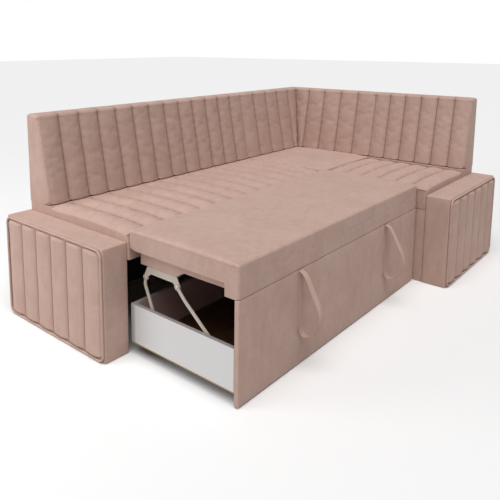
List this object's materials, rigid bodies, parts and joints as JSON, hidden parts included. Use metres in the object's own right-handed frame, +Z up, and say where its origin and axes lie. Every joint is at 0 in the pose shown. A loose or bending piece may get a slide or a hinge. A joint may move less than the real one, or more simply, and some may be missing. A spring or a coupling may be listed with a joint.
{
  "type": "corner kitchen bench with pull-out bed",
  "caption": "L-shaped upholstered corner bench with channelled velvet seats and backs, low arm boxes and a roll-out bed unit whose platform lifts on flat links.",
  "frame": {"origin": "middle of the footprint's bounding rectangle, on the floor", "axes": "+X along the long side towards the corner, +Y towards the wall behind the long side, +Z up"},
  "size_m": [2.082, 1.277, 0.82],
  "materials": {
    "velvet_cushion": "short-pile dusty pink velvet over foam",
    "velvet_board": "board covered in the same dusty pink velvet",
    "velvet_strap": "flat strap sewn from the same velvet",
    "laminate": "white melamine-faced board",
    "hardboard": "dark brown hardboard",
    "lining_board": "board covered in black non-woven lining",
    "plywood": "bare birch plywood",
    "painted_steel": "cream powder-coated flat steel",
    "zinc_steel": "zinc-plated pressed steel",
    "black_plastic": "matte black moulded plastic"
  },
  "bodies": {
    "bench": {"left_arm_box": "velvet_board", "left_arm_pad": "velvet_cushion", "left_arm_welt": "velvet_cushion", "right_arm_box": "velvet_board", "right_arm_pad": "velvet_cushion", "right_arm_welt": "velvet_cushion", "long_seat_board": "plywood", "long_seat_cushion": "velvet_cushion", "corner_seat_board": "plywood", "corner_seat_cushion": "velvet_cushion", "long_back_cushion": "velvet_cushion", "long_back_board": "lining_board", "corner_back_rear_cushion": "velvet_cushion", "corner_back_rear_board": "lining_board", "corner_back_side_cushion": "velvet_cushion", "corner_back_side_board": "lining_board", "wing_back_cushion": "velvet_cushion", "wing_back_board": "lining_board", "wing_back_rail": "velvet_board", "bay_rear_wall": "lining_board", "bay_right_wall": "lining_board", "wing_rear_wall": "lining_board", "wing_front_panel": "velvet_board", "wing_box_divider": "laminate", "wing_box_end": "laminate", "wing_box_floor": "hardboard", "lid_hinge_fixed_1": "zinc_steel", "lid_hinge_fixed_2": "zinc_steel"},
    "wing_lid": {"wing_lid_frame": "plywood", "wing_seat_cushion": "velvet_cushion", "lid_hinge_moving_1": "zinc_steel", "lid_hinge_moving_2": "zinc_steel"},
    "drawer": {"drawer_left_side": "laminate", "drawer_right_side": "laminate", "drawer_rear_panel": "laminate", "drawer_bottom": "hardboard", "drawer_front_panel": "velvet_board", "pull_strap_1": "velvet_strap", "pull_strap_2": "velvet_strap", "link_bracket_left": "painted_steel", "link_bracket_right": "painted_steel", "castor_fork_rear_left": "zinc_steel", "castor_fork_rear_right": "zinc_steel", "castor_fork_front_left": "zinc_steel", "castor_fork_front_right": "zinc_steel"},
    "rear_link_left": {"rear_link_left": "painted_steel"},
    "rear_link_right": {"rear_link_right": "painted_steel"},
    "platform": {"platform_pad": "velvet_cushion", "platform_rail_left": "velvet_board", "platform_rail_right": "velvet_board", "platform_rail_rear": "velvet_board", "lift_plate_left": "painted_steel", "lift_plate_right": "painted_steel"},
    "front_link_left": {"front_link_left": "painted_steel"},
    "front_link_right": {"front_link_right": "painted_steel"},
    "wheel_rear_left": {"castor_wheel_rear_left": "black_plastic"},
    "wheel_rear_right": {"castor_wheel_rear_right": "black_plastic"},
    "wheel_front_left": {"castor_wheel_front_left": "black_plastic"},
    "wheel_front_right": {"castor_wheel_front_right": "black_plastic"}
  },
  "joints": [
    {"name": "drawer_slide", "type": "slide", "parent": "bench", "child": "drawer", "axis": [0, -1, 0], "range_m": [0, 0.12]},
    {"name": "lid_hinge", "type": "hinge", "parent": "bench", "child": "wing_lid", "pos_m": [0.891, -0.249, 0.436], "axis": [0, 1, 0], "range_deg": [0, 60]},
    {"name": "platform_lift", "type": "hinge", "parent": "drawer", "child": "rear_link_left", "pos_m": [-0.8954, -0.1149, 0.1], "axis": [1, 0, 0], "range_deg": [0, 21.3]},
    {"name": "platform_pivot", "type": "hinge", "parent": "rear_link_left", "child": "platform", "pos_m": [-0.8954, -0.0445, 0.299], "axis": [-1, 0, 0], "range_deg": [0, 39.4]},
    {"name": "rear_link_right_pivot", "type": "hinge", "parent": "drawer", "child": "rear_link_right", "pos_m": [0.3724, -0.1149, 0.1], "axis": [1, 0, 0], "range_deg": [0, 21.31]},
    {"name": "front_link_left_pivot", "type": "hinge", "parent": "platform", "child": "front_link_left", "pos_m": [-0.8954, -0.1985, 0.306], "axis": [1, 0, 0], "range_deg": [0, 34.9]},
    {"name": "front_link_right_pivot", "type": "hinge", "parent": "platform", "child": "front_link_right", "pos_m": [0.3724, -0.1985, 0.306], "axis": [1, 0, 0], "range_deg": [0, 34.9]},
    {"name": "wheel_rear_left_spin", "type": "hinge", "parent": "drawer", "child": "wheel_rear_left", "pos_m": [-0.8475, -0.027, 0.0195], "axis": [1, 0, 0], "range_deg": [0, 353]},
    {"name": "wheel_rear_right_spin", "type": "hinge", "parent": "drawer", "child": "wheel_rear_right", "pos_m": [0.3245, -0.027, 0.0195], "axis": [1, 0, 0], "range_deg": [0, 353]},
    {"name": "wheel_front_left_spin", "type": "hinge", "parent": "drawer", "child": "wheel_front_left", "pos_m": [-0.8475, -0.4085, 0.0195], "axis": [1, 0, 0], "range_deg": [0, 353]},
    {"name": "wheel_front_right_spin", "type": "hinge", "parent": "drawer", "child": "wheel_front_right", "pos_m": [0.3245, -0.4085, 0.0195], "axis": [1, 0, 0], "range_deg": [0, 353]}
  ],
  "couplings": [
    {"joint": "platform_pivot", "follows": "platform_lift", "ratio": 1.8488},
    {"joint": "rear_link_right_pivot", "follows": "platform_lift", "ratio": 1},
    {"joint": "front_link_left_pivot", "follows": "platform_lift", "ratio": 1.6353},
    {"joint": "front_link_right_pivot", "follows": "platform_lift", "ratio": 1.6353},
    {"joint": "wheel_rear_left_spin", "follows": "drawer_slide", "rad_per_m": 51.282},
    {"joint": "wheel_rear_right_spin", "follows": "drawer_slide", "rad_per_m": 51.282},
    {"joint": "wheel_front_left_spin", "follows": "drawer_slide", "rad_per_m": 51.282},
    {"joint": "wheel_front_right_spin", "follows": "drawer_slide", "rad_per_m": 51.282}
  ]
}
